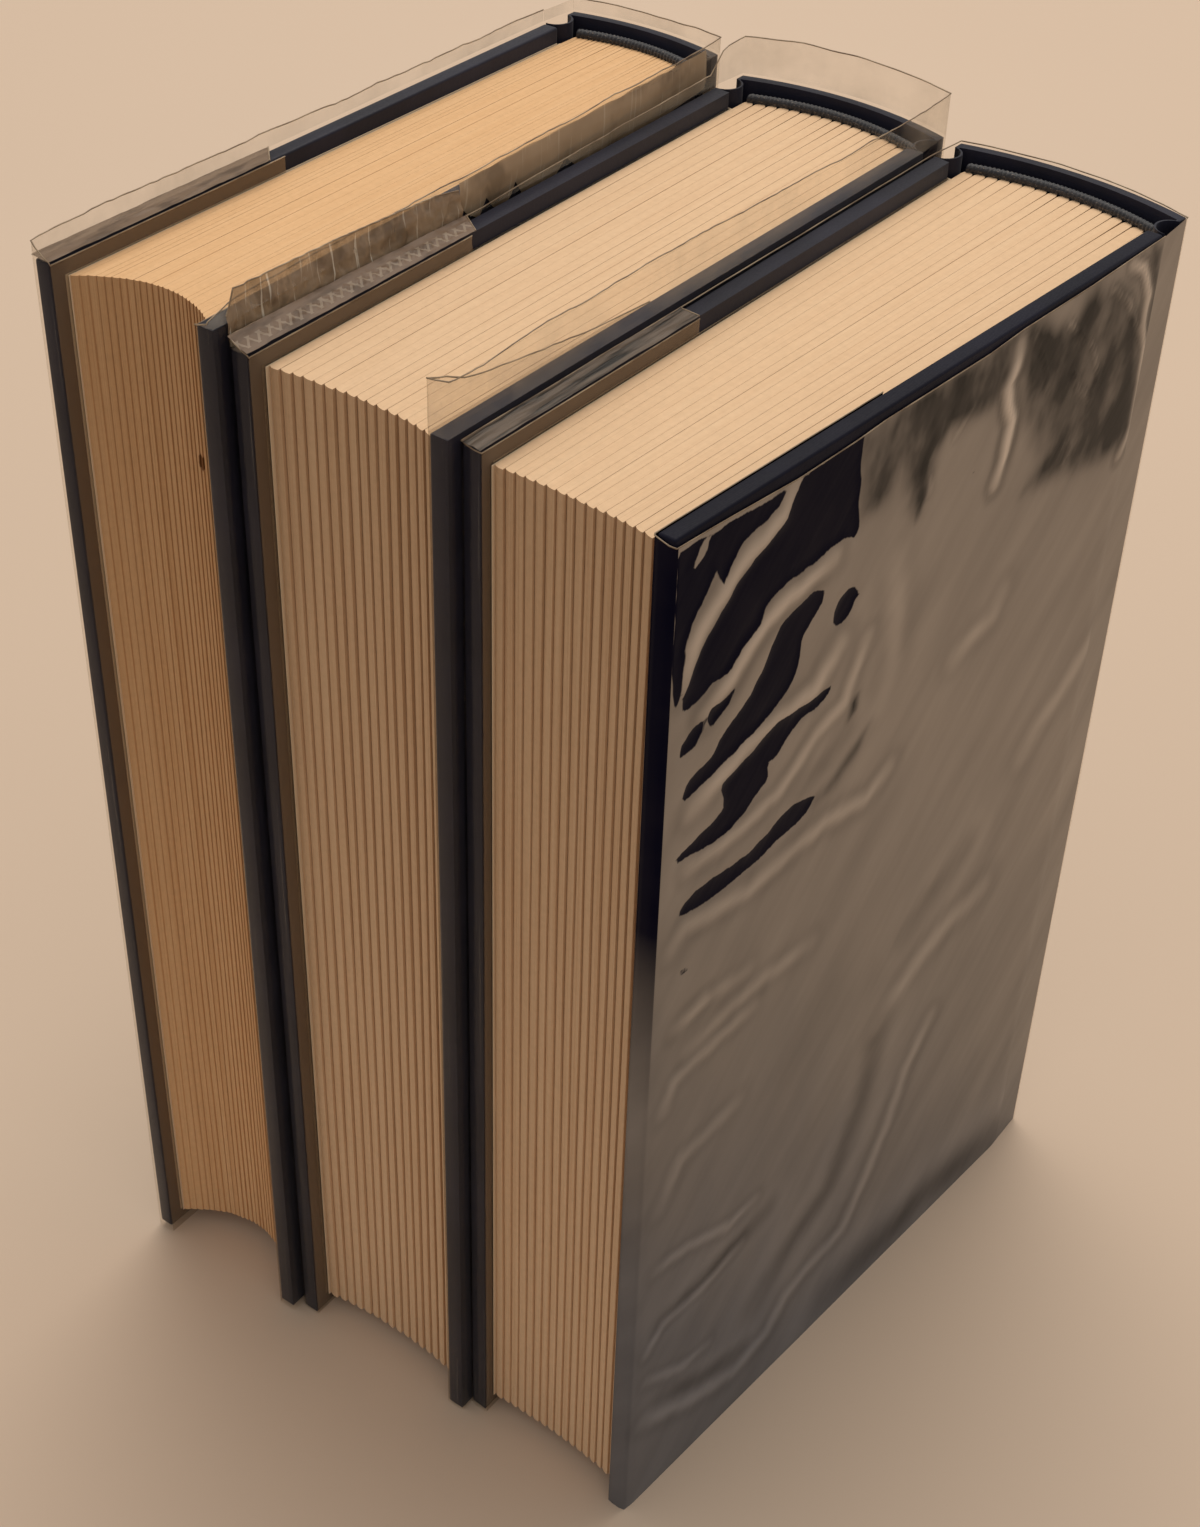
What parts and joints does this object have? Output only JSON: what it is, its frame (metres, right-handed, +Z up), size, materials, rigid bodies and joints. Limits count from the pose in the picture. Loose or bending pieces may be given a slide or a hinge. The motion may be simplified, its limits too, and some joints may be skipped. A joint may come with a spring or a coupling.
{
  "type": "stack of books",
  "caption": "Row of thick hardback books standing upright in clear film jackets; the two outermost covers open.",
  "frame": {"origin": "middle of the row's footprint, on the surface that the books stand on", "axes": "+X along the row, towards the right book; -Y towards the fore edges; +Z up"},
  "size_m": [0.1218, 0.1382, 0.2172],
  "materials": {
    "aged_pages": "matt, yellowed edge",
    "pages": "matt, cut edge",
    "endpaper": "matt",
    "board": "matt grey-brown board",
    "cloth": "navy book cloth with a fine grain",
    "lining": "open mull and paper",
    "band": "braided cord",
    "jacket": "clear soft film, slightly wrinkled"
  },
  "bodies": {
    "books": {"left_book_back_board": "board", "left_book_back_endpaper": "endpaper", "left_book_case_cloth": "cloth", "left_book_front_flyleaf": "endpaper", "left_book_head_band": "band", "left_book_jacket": "jacket", "left_book_spine_inlay": "board", "left_book_spine_lining": "lining", "left_book_tail_band": "band", "left_book_text_block": "aged_pages", "middle_book_back_board": "board", "middle_book_back_endpaper": "endpaper", "middle_book_case_cloth": "cloth", "middle_book_front_board": "board", "middle_book_front_endpaper": "endpaper", "middle_book_head_band": "band", "middle_book_jacket": "jacket", "middle_book_spine_inlay": "board", "middle_book_spine_lining": "lining", "middle_book_tail_band": "band", "middle_book_text_block": "pages", "right_book_back_flyleaf": "endpaper", "right_book_case_cloth": "cloth", "right_book_front_board": "board", "right_book_front_endpaper": "endpaper", "right_book_head_band": "band", "right_book_jacket": "jacket", "right_book_spine_inlay": "board", "right_book_spine_lining": "lining", "right_book_tail_band": "band", "right_book_text_block": "pages"},
    "left_book_front_cover": {"left_book_front_board": "board", "left_book_front_cover_cloth": "cloth", "left_book_front_jacket_panel": "jacket", "left_book_front_pastedown": "endpaper"},
    "right_book_back_cover": {"right_book_back_board": "board", "right_book_back_cover_cloth": "cloth", "right_book_back_jacket_panel": "jacket", "right_book_back_pastedown": "endpaper"}
  },
  "joints": [
    {"name": "left_book_front_cover_hinge", "type": "hinge", "parent": "books", "child": "left_book_front_cover", "pos_m": [-0.06109, 0.05278, 0.1069], "axis": [0, 0, -1], "range_deg": [0, 170]},
    {"name": "right_book_back_cover_hinge", "type": "hinge", "parent": "books", "child": "right_book_back_cover", "pos_m": [0.06108, 0.05731, 0.10425], "axis": [0, 0, 1], "range_deg": [0, 170]}
  ]
}
